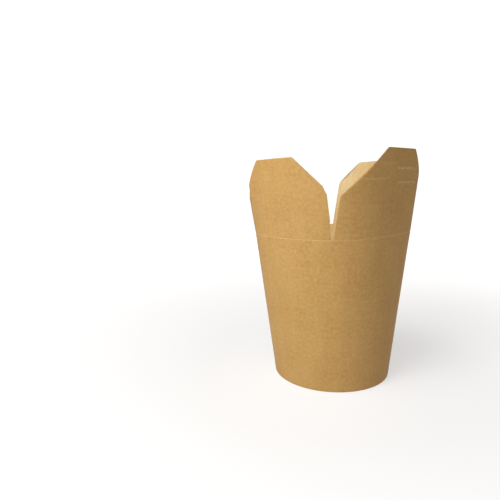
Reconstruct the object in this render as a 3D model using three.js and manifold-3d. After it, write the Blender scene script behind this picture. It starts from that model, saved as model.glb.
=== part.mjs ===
// Noodle takeaway box: a round-based paperboard cup whose wall is cut at the top into four flaps.
// Millimetres, +Z up. The origin is the middle of the foot, on the table. The slotted flap faces -Y.
import * as THREE from "three";
import { mergeVertices } from "three/addons/utils/BufferGeometryUtils.js";
import Module from "manifold-3d";

// Driving dimensions of the cup
const BOARD = 0.5;
const FOOT_RADIUS = 42.2;
const CREASE_HEIGHT = 106;
const CREASE_HALF_DEPTH = 50.9;
const CREASE_HALF_WIDTH = 54.7;
const CREASE_HALF_DIAGONAL = 55.7;
const ROUND_FOOT_HEIGHT = 9;
const GAP = 0.3;

// Foot: the wall turns in and up around the skirt of the recessed bottom disc
const HEM_HEIGHT = 7.5;
const FOLD_ROUNDING = 0.35;
const SKIRT_BOTTOM = 1;

// Side seam: the end of the sheet lapped over its start, under a slit whose root is cut lower and wider
const SEAM_LAP_WIDTH = 9;
const SEAM_TOP_MARGIN = 1.5;
const SEAM_NOTCH = { halfWidth: 1.4, depth: 0.9 };

// Flaps: half of the angle that each takes at the crease, and edges as [height, inset from the slit root]
const WIDE_HALF_ANGLE = THREE.MathUtils.degToRad(52.2);
const NARROW_HALF_ANGLE = Math.PI / 2 - WIDE_HALF_ANGLE;
const SLOTTED_EDGE = [[0, 0.8], [27.5, 4.3], [47.5, 27.9], [55.6, 38.9]];
const TONGUE_EDGE = [[0, 0.8], [24.5, 4.1], [40.5, 21.6]];
const TONGUE_TAB = { height: 53.4, halfBase: 13.8, halfTop: 11.5, corner: 6, overlap: 2 };
const SIDE_EDGE_BY_SLOTTED = [[0, 0.8], [27.5, 3.4], [33.2, 6], [50.3, 25.3]];
const SIDE_EDGE_BY_TONGUE = [[0, 1.4], [33.9, 6.5], [50.3, 23.6]];

// Lock slits of the slotted flap: each row steps down to the right, as [from, to, height] above the crease
const SLIT_WIDTH = 0.6;
const SLIT_ROWS = [
  [[-21.5, -6, 46.4], [-4.2, 20, 43.3], [22.5, 31.5, 39.6]],
  [[-32.6, -9.8, 37], [-1.6, 23.2, 34.4], [27, 37.5, 30.6]],
];

// Mesh fineness: parts of a full turn, columns across each board piece, and row heights
const ROUND_STEPS = 96;
const COLUMNS = { wide: 32, narrow: 24, tab: 12, slit: 8, lap: 4 };
const WALL_ROW = 25;
const FLAP_ROW = 7;
const CORNER_ROW = 1;

const KRAFT = { color: 0xc79d62, roughness: 0.85, metalness: 0 };
const CREAM = { color: 0xe3c68c, roughness: 0.8, metalness: 0 };

const wasm = await Module();
wasm.setup();

const creaseMean = (CREASE_HALF_DEPTH + CREASE_HALF_WIDTH + 2 * CREASE_HALF_DIAGONAL) / 4;
const creaseOval = (CREASE_HALF_DEPTH - CREASE_HALF_WIDTH) / 2;
const creaseSquare = (CREASE_HALF_DEPTH + CREASE_HALF_WIDTH - 2 * CREASE_HALF_DIAGONAL) / 4;

// Radius of the round cone that the wall would be without its flattened sides
function coneRadius(z) {
  return FOOT_RADIUS + ((creaseMean - FOOT_RADIUS) * z) / CREASE_HEIGHT;
}

// How far the wall lies from that cone at an angle from -Y: nothing at the foot, growing up to the crease
function bulge(angle, z) {
  const share = Math.max(0, (z - ROUND_FOOT_HEIGHT) / (CREASE_HEIGHT - ROUND_FOOT_HEIGHT));
  return share * (creaseOval * Math.cos(2 * angle) + creaseSquare * Math.cos(4 * angle));
}

// Point of the board at an angle from -Y, a height, and a depth behind the outer face
function boardPoint(angle, z, depth) {
  const radius = coneRadius(z) + bulge(angle, z) - depth;
  return new THREE.Vector3(radius * Math.sin(angle), -radius * Math.cos(angle), z);
}

function welded(geometry) {
  geometry.deleteAttribute("normal");
  geometry.deleteAttribute("uv");
  return mergeVertices(geometry, 1e-4);
}

function toSolid(geometry) {
  const merged = welded(geometry);
  return new wasm.Manifold(
    new wasm.Mesh({
      numProp: 3,
      vertProperties: merged.attributes.position.array,
      triVerts: new Uint32Array(merged.index.array),
    }),
  );
}

function toGeometry(solid) {
  const { vertProperties, triVerts } = solid.getMesh();
  const geometry = new THREE.BufferGeometry();
  geometry.setAttribute("position", new THREE.BufferAttribute(vertProperties, 3));
  geometry.setIndex(new THREE.BufferAttribute(triVerts, 1));
  geometry.computeVertexNormals();
  return geometry;
}

// Turned piece about +Z from a profile of [radius, height] points
function turned(profile) {
  const points = profile.map(([radius, z]) => new THREE.Vector2(radius, z));
  return new THREE.LatheGeometry(points, ROUND_STEPS).rotateX(Math.PI / 2);
}

// Board bent to the wall: rows are its heights, and span(height) its two edges as angles from its middle
function bentBoard({ centre, rows, span, columns, front = 0, back = BOARD }) {
  const last = rows.length - 1;
  const blank = new THREE.BoxGeometry(2, last, 1, columns, last, 1);
  const position = blank.attributes.position;
  for (let i = 0; i < position.count; i++) {
    const z = rows[Math.round(position.getY(i) + last / 2)];
    const [low, high] = span(z);
    const angle = centre + THREE.MathUtils.mapLinear(position.getX(i), -1, 1, low, high);
    const point = boardPoint(angle, z, position.getZ(i) > 0 ? front : back);
    position.setXYZ(i, point.x, point.y, point.z);
  }
  return blank;
}

// Heights from one value to another in equal steps, without the last
function risingSteps(from, to, longest) {
  const count = Math.ceil((to - from) / longest);
  return Array.from({ length: count }, (_, i) => from + ((to - from) * i) / count);
}

// Value at a height on a line through [height, value] corners
function alongLine(corners, height) {
  const next = Math.max(1, corners.findIndex(([h]) => h >= height - 1e-9));
  const [h0, v0] = corners[next - 1];
  const [h1, v1] = corners[next];
  return THREE.MathUtils.mapLinear(height, h0, h1, v0, v1);
}

// Flap of the wall above the crease, from its middle and the edges on its low and high angle side
function flapBoard({ centre, halfAngle, lowEdge, highEdge = lowEdge, columns }) {
  const corners = [...new Set([...lowEdge, ...highEdge].map(([h]) => h))].sort((a, b) => a - b);
  const heights = corners.slice(1).flatMap((h, i) => risingSteps(corners[i], h, FLAP_ROW));
  const rows = [...heights, corners.at(-1)].map((h) => CREASE_HEIGHT + Math.max(h, GAP / 2));
  const span = (z) => {
    const slit = boardPoint(centre + halfAngle, z, 0);
    const radius = Math.hypot(slit.x, slit.y);
    const halfAt = (edge) => halfAngle - alongLine(edge, z - CREASE_HEIGHT) / radius;
    return [-halfAt(lowEdge), halfAt(highEdge)];
  };
  return bentBoard({ centre, rows, span, columns });
}

// Wall of the cup with its hem, and the lapped side seam
function wallGeometry() {
  const wallTop = CREASE_HEIGHT - GAP / 2;
  const slotWidth = BOARD + 2 * GAP;
  const hemFront = BOARD + slotWidth;
  const hemBack = hemFront + BOARD;
  const at = (depth, z) => [coneRadius(z) - depth, z];
  const slotFloor = SKIRT_BOTTOM - GAP;
  const heights = [...risingSteps(ROUND_FOOT_HEIGHT, wallTop, WALL_ROW), wallTop];
  const foldMiddle = FOLD_ROUNDING * (1 - Math.SQRT1_2);
  const profile = [
    at(FOLD_ROUNDING, 0),
    at(foldMiddle, foldMiddle),
    at(0, FOLD_ROUNDING),
    ...heights.map((z) => at(0, z)),
    ...heights.toReversed().map((z) => at(BOARD, z)),
    at(BOARD, slotFloor),
    at(hemFront, slotFloor),
    at(hemFront, HEM_HEIGHT),
    at(hemBack, HEM_HEIGHT),
    at(hemBack, FOLD_ROUNDING),
    at(hemBack - FOLD_ROUNDING, 0),
    at(FOLD_ROUNDING, 0),
  ];
  const shell = turned(profile);
  const position = shell.attributes.position;
  for (let i = 0; i < position.count; i++) {
    const point = new THREE.Vector3().fromBufferAttribute(position, i);
    const offset = bulge(Math.atan2(point.x, -point.y), point.z);
    const stretch = 1 + offset / Math.hypot(point.x, point.y);
    position.setXYZ(i, point.x * stretch, point.y * stretch, point.z);
  }

  const seamTop = CREASE_HEIGHT - SEAM_TOP_MARGIN;
  const lap = bentBoard({
    centre: Math.PI - WIDE_HALF_ANGLE,
    rows: [BOARD, ...risingSteps(ROUND_FOOT_HEIGHT, seamTop, WALL_ROW), seamTop],
    span: (z) => [0, SEAM_LAP_WIDTH / coneRadius(z)],
    columns: COLUMNS.lap,
    front: -BOARD,
    back: BOARD / 2,
  });
  const notch = bentBoard({
    centre: Math.PI - WIDE_HALF_ANGLE,
    rows: [CREASE_HEIGHT - SEAM_NOTCH.depth, CREASE_HEIGHT],
    span: (z) => [-SEAM_NOTCH.halfWidth / coneRadius(z), SEAM_NOTCH.halfWidth / coneRadius(z)],
    columns: 1,
    front: -BOARD,
    back: 2 * BOARD,
  });
  return toGeometry(toSolid(shell).subtract(toSolid(notch)).add(toSolid(lap)));
}

// Bottom disc, recessed above the table, with its skirt turned down into the hem
function bottomGeometry() {
  const skirtFront = BOARD + GAP;
  const skirtBack = skirtFront + BOARD;
  const underside = HEM_HEIGHT + GAP;
  const top = underside + BOARD;
  const profile = [
    [0, underside],
    [coneRadius(underside) - skirtBack, underside],
    [coneRadius(SKIRT_BOTTOM) - skirtBack, SKIRT_BOTTOM],
    [coneRadius(SKIRT_BOTTOM) - skirtFront, SKIRT_BOTTOM],
    [coneRadius(top) - skirtFront, top],
    [0, top],
  ];
  return toGeometry(toSolid(turned(profile)));
}

// One cutter of a lock slit, from and to in millimetres along the flap from its middle
function slitCutter([from, to, height]) {
  const z = CREASE_HEIGHT + height;
  const radius = coneRadius(z) + bulge(0, z);
  const cutter = bentBoard({
    centre: 0,
    rows: [z - SLIT_WIDTH / 2, z + SLIT_WIDTH / 2],
    span: () => [from / radius, to / radius],
    columns: COLUMNS.slit,
    front: -BOARD,
    back: 2 * BOARD,
  });
  return toSolid(cutter);
}

function slottedFlapGeometry() {
  const board = flapBoard({
    centre: 0,
    halfAngle: WIDE_HALF_ANGLE,
    lowEdge: SLOTTED_EDGE,
    columns: COLUMNS.wide,
  });
  let solid = toSolid(board);
  for (const slit of SLIT_ROWS.flat()) solid = solid.subtract(slitCutter(slit));
  return toGeometry(solid);
}

// The tab's half width falls evenly and then round its corner
function tabHalfWidth(height) {
  const [shoulder] = TONGUE_EDGE.at(-1);
  const rise = (height - shoulder) / (TONGUE_TAB.height - shoulder);
  const straight = THREE.MathUtils.lerp(TONGUE_TAB.halfBase, TONGUE_TAB.halfTop, rise);
  const into = Math.max(0, height - (TONGUE_TAB.height - TONGUE_TAB.corner)) / TONGUE_TAB.corner;
  return straight - TONGUE_TAB.corner * (1 - Math.sqrt(Math.max(0, 1 - into * into)));
}

function tongueFlapGeometry() {
  const shoulders = flapBoard({
    centre: Math.PI,
    halfAngle: WIDE_HALF_ANGLE,
    lowEdge: TONGUE_EDGE,
    columns: COLUMNS.wide,
  });
  const { height, corner, overlap } = TONGUE_TAB;
  const cornerRows = [...risingSteps(height - corner, height, CORNER_ROW), height];
  const [shoulder] = TONGUE_EDGE.at(-1);
  const heights = [shoulder - overlap, shoulder, ...cornerRows];
  const tab = bentBoard({
    centre: Math.PI,
    rows: heights.map((h) => CREASE_HEIGHT + h),
    span: (z) => {
      const half = tabHalfWidth(z - CREASE_HEIGHT) / (coneRadius(z) + bulge(Math.PI, z));
      return [-half, half];
    },
    columns: COLUMNS.tab,
  });
  return toGeometry(toSolid(shoulders).add(toSolid(tab)));
}

function sideFlapGeometry(centre) {
  const edges = [SIDE_EDGE_BY_TONGUE, SIDE_EDGE_BY_SLOTTED];
  const [lowEdge, highEdge] = centre < 0 ? edges : edges.toReversed();
  const board = flapBoard({
    centre,
    halfAngle: NARROW_HALF_ANGLE,
    lowEdge,
    highEdge,
    columns: COLUMNS.narrow,
  });
  return toGeometry(toSolid(board));
}

function piece(name, geometry, finish) {
  const mesh = new THREE.Mesh(geometry, new THREE.MeshStandardMaterial(finish));
  mesh.name = name;
  return mesh;
}

const box = new THREE.Group();
box.add(piece("wall", wallGeometry(), KRAFT));
box.add(piece("bottom", bottomGeometry(), CREAM));
box.add(piece("flap_slotted", slottedFlapGeometry(), KRAFT));
box.add(piece("flap_tongue", tongueFlapGeometry(), KRAFT));
box.add(piece("flap_side_left", sideFlapGeometry(-Math.PI / 2), KRAFT));
box.add(piece("flap_side_right", sideFlapGeometry(Math.PI / 2), KRAFT));

export default box;
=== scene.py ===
"""Open noodle takeaway box of brown kraft paperboard, for Blender 4.5.

The box is one plain sheet of board: a wall wound into a cone with a round foot, cut at the top into four
flaps, and a pale-lined disc set into the foot. Every board piece is drawn flat first, as the die cuts
it, and one Geometry Nodes tree then bends it to the wall, so all pieces follow the same surface.
"""

import logging
import math
from dataclasses import dataclass, field
from enum import Enum
from typing import Any, Iterable, Optional, Sequence

import bpy
import numpy as np
from mathutils import Matrix, Vector
from mathutils.geometry import delaunay_2d_cdt


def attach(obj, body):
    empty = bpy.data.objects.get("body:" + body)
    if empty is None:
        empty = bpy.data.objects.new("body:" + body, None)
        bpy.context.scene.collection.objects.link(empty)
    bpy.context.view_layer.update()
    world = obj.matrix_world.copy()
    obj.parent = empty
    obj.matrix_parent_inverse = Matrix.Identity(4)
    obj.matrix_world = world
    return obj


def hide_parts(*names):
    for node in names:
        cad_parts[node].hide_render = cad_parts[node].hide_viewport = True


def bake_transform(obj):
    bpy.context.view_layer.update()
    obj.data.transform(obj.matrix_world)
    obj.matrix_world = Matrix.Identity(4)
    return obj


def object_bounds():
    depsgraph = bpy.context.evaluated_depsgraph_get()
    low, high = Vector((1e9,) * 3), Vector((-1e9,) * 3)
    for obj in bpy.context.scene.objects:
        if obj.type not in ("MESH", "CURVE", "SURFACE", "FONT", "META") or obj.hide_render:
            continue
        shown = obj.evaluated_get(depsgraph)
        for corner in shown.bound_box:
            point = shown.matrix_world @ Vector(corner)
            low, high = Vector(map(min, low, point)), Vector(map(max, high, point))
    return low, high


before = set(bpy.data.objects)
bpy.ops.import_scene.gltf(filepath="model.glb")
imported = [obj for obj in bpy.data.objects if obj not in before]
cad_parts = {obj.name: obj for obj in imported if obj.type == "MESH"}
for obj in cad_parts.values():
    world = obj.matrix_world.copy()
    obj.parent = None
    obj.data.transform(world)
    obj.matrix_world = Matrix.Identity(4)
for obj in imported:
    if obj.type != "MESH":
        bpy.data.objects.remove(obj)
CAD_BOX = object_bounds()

LOG = logging.getLogger("noodle_box")
MM = 0.001
WHITE = (1.0, 1.0, 1.0, 1.0)

# Sockets of a Mix node set to colours, whose names its other types share.
MIX_A = 6
MIX_B = 7
MIX_RESULT = 2

# Sockets of a Compare node set to whole numbers.
COMPARE_A = 2
COMPARE_B = 3

# Distances from the crease, in millimetres, of the mesh rows that carry its pressed line.
CREASE_ROWS = (0.1, 0.2, 0.35, 0.5, 0.7, 0.9)

# A hundredth of a millimetre, which keeps a comparison or a last step off the exact edge.
NEARLY = 0.01

Point = tuple[float, float]
Loop = list[Point]
Corners = tuple[Point, ...]


class Side(Enum):
    """Which face of the board a polygon belongs to, as stored on the mesh."""

    OUTSIDE = 0
    INSIDE = 1
    EDGE = 2


def linear(hex_code: str) -> tuple[float, float, float, float]:
    """Turn an sRGB hex colour into the linear colour that shaders take.

    Args:
        hex_code: Six hex digits with a leading hash.

    Returns:
        Linear red, green, blue and an alpha of 1.
    """
    channels = [int(hex_code[i : i + 2], 16) / 255 for i in (1, 3, 5)]
    red, green, blue = [c / 12.92 if c <= 0.04045 else ((c + 0.055) / 1.055) ** 2.4 for c in channels]
    return red, green, blue, 1.0


def add(tree: bpy.types.NodeTree, kind: str, inputs: Optional[dict] = None,
        **settings: Any) -> bpy.types.Node:
    """Add one node to a tree, with its settings and links.

    Args:
        tree: Shader or geometry node tree.
        kind: Blender's identifier of the node.
        inputs: Input socket name or number to a value, or to the output socket that feeds it.
        settings: Attributes set on the node itself.

    Returns:
        The new node.
    """
    node = tree.nodes.new(kind)
    for name, value in settings.items():
        setattr(node, name, value)
    for key, value in (inputs or {}).items():
        socket = node.inputs[key]
        if isinstance(value, bpy.types.NodeSocket):
            tree.links.new(value, socket)
        else:
            socket.default_value = value
    return node


def new_material(name: str, constants: dict[str, Any]
                 ) -> tuple[bpy.types.Material, bpy.types.NodeTree, bpy.types.Node]:
    """Start a node material.

    Args:
        name: Common name of the real material.
        constants: Values that are the same all over the surface, by the name of the shader's input.

    Returns:
        The material, its tree and its shader.
    """
    material = bpy.data.materials.new(name)
    material.use_nodes = True
    tree = material.node_tree
    shader = tree.nodes["Principled BSDF"]
    for key, value in constants.items():
        shader.inputs[key].default_value = value
    return material, tree, shader


def placed(name: str, data: bpy.types.ID) -> bpy.types.Object:
    """Make an object at the origin and put it in the scene.

    Args:
        name: Name of the object.
        data: Its mesh, light or camera.

    Returns:
        The new object.
    """
    item = bpy.data.objects.new(name, data)
    bpy.context.scene.collection.objects.link(item)
    return item


def mark_sheet(mesh: bpy.types.Mesh, places_mm: np.ndarray) -> None:
    """Store each point's place on the board in millimetres, which the board's patterns follow.

    Args:
        mesh: Mesh that gets the attribute.
        places_mm: One row for each point.
    """
    sheet = mesh.attributes.new("sheet", "FLOAT_VECTOR", "POINT")
    sheet.data.foreach_set("vector", places_mm.ravel())


def smooth_step(value: float) -> float:
    """Ease a value from 0 to 1 between 0 and 1, flat at both ends."""
    share = min(1.0, max(0.0, value))
    return share * share * (3 - 2 * share)


def steps(start: float, end: float, longest: float) -> list[float]:
    """Split a stretch into equal steps, both ends included.

    Args:
        start: First value.
        end: Last value.
        longest: Longest step allowed.

    Returns:
        The values in order.
    """
    count = max(1, math.ceil(abs(end - start) / longest))
    return [start + (end - start) * i / count for i in range(count + 1)]


@dataclass(frozen=True)
class CupShape:
    """Sizes of the cup's wall in millimetres, the same as the solids'.

    The wall is a round cone at the foot. Towards the crease its front and back flatten and its corners,
    under the slits, stay out, so its section there is a soft rounded rectangle. Real board isn't quite
    true, so it also swings in and out a little in long waves.
    """

    board: float = 0.5
    foot_radius: float = 42.2
    crease_height: float = 106.0
    half_depth: float = 50.9
    half_width: float = 54.7
    half_diagonal: float = 55.7
    round_foot_height: float = 9.0
    hem_height: float = 7.5
    hem_gap: float = 0.3
    wide_half_angle: float = math.radians(52.2)
    waviness: float = 0.35
    wave_length: float = 55.0

    @property
    def mean_radius(self) -> float:
        """Mean radius at the crease."""
        return (self.half_depth + self.half_width + 2 * self.half_diagonal) / 4

    @property
    def oval(self) -> float:
        """How far the crease is longer from side to side than from front to back."""
        return (self.half_depth - self.half_width) / 2

    @property
    def square(self) -> float:
        """How far the crease's corners stand out."""
        return (self.half_depth + self.half_width - 2 * self.half_diagonal) / 4

    def cone(self, height: float) -> float:
        """Radius of the plain round cone at a height."""
        return self.foot_radius + (self.mean_radius - self.foot_radius) * height / self.crease_height

    def radius(self, angle: float, height: float) -> float:
        """Radius of the wall's outer face.

        Args:
            angle: Angle from -Y towards +X in radians.
            height: Height above the table.

        Returns:
            The radius in millimetres.
        """
        share = max(0.0, (height - self.round_foot_height) / (self.crease_height - self.round_foot_height))
        section = self.oval * math.cos(2 * angle) + self.square * math.cos(4 * angle)
        return self.cone(height) + share * section

    def flat(self, angle: float) -> float:
        """Distance along the flat sheet that an angle around the cup takes."""
        return angle * self.mean_radius


@dataclass(frozen=True)
class Score:
    """A line pressed into the board so that it folds, whose strained fibres show pale."""

    half_width: float = 0.34
    depth: float = 0.12
    paleness: float = 0.32

    def _strength(self, distance: float) -> float:
        """Share of the line's effect that is left at a distance from its middle."""
        return math.exp(-((distance / self.half_width) ** 2))

    def press(self, distance: float) -> float:
        """Depth of the pressed line at a distance from its middle."""
        return self.depth * self._strength(distance)

    def pale(self, distance: float) -> float:
        """How pale the board shows at a distance from the line's middle."""
        return self.paleness * self._strength(distance)


@dataclass
class FlatMesh:
    """A flat piece of board before it is bent.

    Points are (along the sheet, height, depth behind the outer face) in millimetres.
    """

    points: list[tuple[float, float, float]] = field(default_factory=list)
    press: list[float] = field(default_factory=list)
    pale: list[float] = field(default_factory=list)
    faces: list[Sequence[int]] = field(default_factory=list)
    sides: list[Side] = field(default_factory=list)

    def to_mesh(self, name: str) -> bpy.types.Mesh:
        """Write the flat piece as a Blender mesh in metres, with its attributes.

        Args:
            name: Name of the mesh.

        Returns:
            The mesh, still flat.
        """
        mesh = bpy.data.meshes.new(name)
        scaled = [(x * MM, y * MM, z * MM) for x, y, z in self.points]
        mesh.from_pydata(scaled, [], [list(f) for f in self.faces])
        mark_sheet(mesh, np.array(self.points, np.float32))
        press = mesh.attributes.new("press", "FLOAT", "POINT")
        press.data.foreach_set("value", np.array(self.press, np.float32) * MM)
        pale = mesh.attributes.new("pale", "FLOAT", "POINT")
        pale.data.foreach_set("value", np.array(self.pale, np.float32))
        side = mesh.attributes.new("side", "INT", "FACE")
        side.data.foreach_set("value", [s.value for s in self.sides])
        return mesh


class Blank:
    """A flat outline with cut slits, filled with an even net of triangles and given its thickness.

    The clearances are shares of the row gap and of the spacing. The last two values tell the triangulation
    to leave the slits open and how near two points are one, in millimetres.
    """

    ROW_CLEARANCE = 0.6
    POINT_CLEARANCE = 0.45
    INSIDE_WITH_HOLES = 2
    SAME_POINT = 1e-6

    def __init__(self, outline: Loop, slits: Iterable["Slit"], board: float, spacing: float = 1.25) -> None:
        """Keep the outline and how fine it is to be filled.

        Args:
            outline: Corners of the piece, counter-clockwise seen from outside.
            slits: Cuts that go through the board.
            board: Thickness of the board.
            spacing: Mesh spacing in millimetres.
        """
        self.spacing = spacing
        self.board = board
        self.slits = list(slits)
        self.loops = [self._divided(outline)] + [self._divided(slit.loop(slit.width)) for slit in self.slits]

    def _divided(self, loop: Loop) -> Loop:
        """Add points along a loop's edges so that none is longer than the spacing.

        Args:
            loop: Corners in order.

        Returns:
            The corners and the added points in order.
        """
        points: Loop = []
        for (x0, y0), (x1, y1) in zip(loop, loop[1:] + loop[:1]):
            count = max(1, math.ceil(math.hypot(x1 - x0, y1 - y0) / self.spacing))
            points += [(x0 + (x1 - x0) * i / count, y0 + (y1 - y0) * i / count) for i in range(count)]
        return points

    @staticmethod
    def _inside(points: np.ndarray, loop: Loop) -> np.ndarray:
        """Tell which points lie inside a loop, by counting crossings.

        Args:
            points: Points as an array of two columns.
            loop: Corners in order.

        Returns:
            One truth value for each point.
        """
        inside = np.zeros(len(points), bool)
        for (x0, y0), (x1, y1) in zip(loop, loop[1:] + loop[:1]):
            crosses = (y0 > points[:, 1]) != (y1 > points[:, 1])
            if y0 != y1:
                at = x0 + (points[:, 1] - y0) * (x1 - x0) / (y1 - y0)
                inside ^= crosses & (points[:, 0] < at)
        return inside

    def _filling(self, rows: Iterable[float]) -> np.ndarray:
        """Place points inside the outline: staggered rows, the rows of a score and a ring round each slit.

        Args:
            rows: Heights that get a row of their own.

        Returns:
            The points as an array of two columns.
        """
        low, high = np.min(self.loops[0], 0), np.max(self.loops[0], 0)
        row_gap = self.spacing * math.sqrt(3) / 2
        extra = sorted(rows)
        heights = [y for y in np.arange(low[1] + row_gap, high[1], row_gap)
                   if all(abs(y - e) > row_gap * self.ROW_CLEARANCE for e in extra)]
        points = []
        for number, height in enumerate(heights + extra):
            shift = (number % 2) * self.spacing / 2
            points += [(x + shift, height) for x in np.arange(low[0], high[0], self.spacing)]
        rings = [p for slit in self.slits for p in self._divided(slit.loop(slit.width + 2 * slit.halo))]
        kept = self._kept(np.array(points), rings)
        return np.concatenate([kept, np.array(rings)]) if rings else kept

    def _kept(self, points: np.ndarray, rings: Loop) -> np.ndarray:
        """Keep the points inside the outline, outside the slits and clear of every edge and ring.

        Args:
            points: Points as an array of two columns.
            rings: Points of the rings round the slits.

        Returns:
            The points kept.
        """
        keep = self._inside(points, self.loops[0])
        for slit in self.loops[1:]:
            keep &= ~self._inside(points, slit)
        points = points[keep]
        near = np.concatenate([np.array(loop) for loop in self.loops + [rings] if loop])
        gaps = np.array([np.min(np.hypot(*(near - point).T)) for point in points])
        return points[gaps > self.spacing * self.POINT_CLEARANCE]

    def slab(self, score_rows: Iterable[float] = ()) -> FlatMesh:
        """Fill the outline and give it its thickness.

        Args:
            score_rows: Heights that get a row of points of their own.

        Returns:
            The closed flat piece, its score depths still at nothing.
        """
        corners: list[Vector] = []
        edges: list[tuple[int, int]] = []
        for loop in self.loops:
            start = len(corners)
            corners += [Vector(p) for p in loop]
            edges += [(start + i, start + (i + 1) % len(loop)) for i in range(len(loop))]
        filling = [Vector(p) for p in self._filling(score_rows)]
        points, _, triangles, *_ = delaunay_2d_cdt(corners + filling, edges, [], self.INSIDE_WITH_HOLES,
                                                   self.SAME_POINT, False)
        triangles = [self._turned(points, t) for t in triangles]
        count = len(points)
        flat = FlatMesh()
        flat.points = [(p.x, p.y, 0.0) for p in points] + [(p.x, p.y, self.board) for p in points]
        directed = {(t[i], t[(i + 1) % 3]) for t in triangles for i in range(3)}
        rim = [(a, b) for a, b in sorted(directed) if (b, a) not in directed]
        flat.faces += triangles
        flat.faces += [[i + count for i in reversed(t)] for t in triangles]
        flat.faces += [(b, a, a + count, b + count) for a, b in rim]
        flat.sides = [Side.OUTSIDE] * len(triangles) + [Side.INSIDE] * len(triangles) + [Side.EDGE] * len(rim)
        flat.press = [0.0] * (2 * count)
        flat.pale = [0.0] * (2 * count)
        return flat

    @staticmethod
    def _turned(points: Sequence[Vector], triangle: Sequence[int]) -> list[int]:
        """Give a triangle in counter-clockwise order.

        Args:
            points: All points.
            triangle: Numbers of its three points.

        Returns:
            The three numbers in counter-clockwise order.
        """
        a, b, c = (points[i] for i in triangle)
        area = (b.x - a.x) * (c.y - a.y) - (b.y - a.y) * (c.x - a.x)
        return list(triangle) if area > 0 else list(reversed(triangle))


@dataclass(frozen=True)
class Slit:
    """A cut through the board along a line of straight stretches, its torn fibres paler than the face.

    It ends in points, as long as the taper's share of its width. The halo is how far off a ring of mesh
    points runs round it. Its lower lip stands out, less and less down to the lip's reach and over the lip's
    fade at both ends.
    """

    path: tuple[Point, ...]
    paleness: float
    width: float = 0.14
    taper: float = 0.8
    torn_margin: float = 0.02
    halo: float = 0.45
    lip: float = 0.16
    lip_reach: float = 2.2
    lip_fade: float = 3.0

    def loop(self, width: float) -> Loop:
        """Outline of the cut, or of a band round it.

        Args:
            width: Width of the outline.

        Returns:
            Its corners, with a pointed end at both ends of the path.
        """
        spare = (width - self.width) / 2
        line = [Vector(p) for p in self.path]
        first = (line[0] - line[1]).normalized() * spare
        last = (line[-1] - line[-2]).normalized() * spare
        line = [line[0] + first] + line[1:-1] + [line[-1] + last]
        upper: Loop = []
        lower: Loop = []
        ways = [(b - a).normalized() for a, b in zip(line, line[1:])]
        drawn_in = {0: self.taper, len(line) - 1: -self.taper}
        for i, point in enumerate(line):
            way = ways[min(i, len(ways) - 1)] + ways[max(i - 1, 0)]
            way.normalize()
            inward = way * (width * drawn_in.get(i, 0.0))
            across = Vector((-way.y, way.x)) * (width / 2)
            upper.append(tuple(point + inward + across))
            lower.append(tuple(point + inward - across))
        return [tuple(line[0])] + lower + [tuple(line[-1])] + list(reversed(upper))

    def distance(self, x: float, height: float) -> float:
        """Distance of a point from the cut's middle line.

        Args:
            x: Place along the flat sheet.
            height: Height above the crease.

        Returns:
            The distance in millimetres.
        """
        here = Vector((x, height))
        gaps = []
        for start, end in zip(self.path, self.path[1:]):
            a, b = Vector(start), Vector(end)
            share = max(0.0, min(1.0, (here - a).dot(b - a) / (b - a).length_squared))
            gaps.append((a + (b - a) * share - here).length)
        return min(gaps)

    def pale(self, x: float, height: float) -> float:
        """How strongly a point shows the torn fibres, from 0 to 1."""
        return self.paleness if self.distance(x, height) < self.width / 2 + self.torn_margin else 0.0

    def stand_out(self, x: float, height: float) -> float:
        """How far the lower lip of the cut stands out, fading away below and beside it.

        Args:
            x: Place along the flat sheet.
            height: Height above the crease.

        Returns:
            How far the board stands out there in millimetres.
        """
        left, right = self.path[0][0], self.path[-1][0]
        below = self.path[0][1] - height
        if below < 0 or not left < x < right:
            return 0.0
        along = smooth_step(min(x - left, right - x) / self.lip_fade)
        return self.lip * along * max(0.0, 1 - below / self.lip_reach) ** 2


def softened(outline: Loop, radii: Sequence[float], arc_points: int = 5) -> Loop:
    """Round the corners of an outline with arcs, as a cutting rule bent from steel strip does.

    Args:
        outline: Corners in order.
        radii: How far from each corner its rounding starts, nothing for a sharp one.
        arc_points: Points that each rounding gets.

    Returns:
        The outline with its roundings.
    """
    points: Loop = []
    count = len(outline)
    for i, reach in enumerate(radii):
        corner = Vector(outline[i])
        if not reach:
            points.append(tuple(corner))
            continue
        before = (Vector(outline[i - 1]) - corner).normalized() * reach
        after = (Vector(outline[(i + 1) % count]) - corner).normalized() * reach
        for k in range(arc_points):
            t = k / (arc_points - 1)
            place = corner + before * (1 - t) ** 2 + after * t**2
            points.append(tuple(place))
    return points


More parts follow.
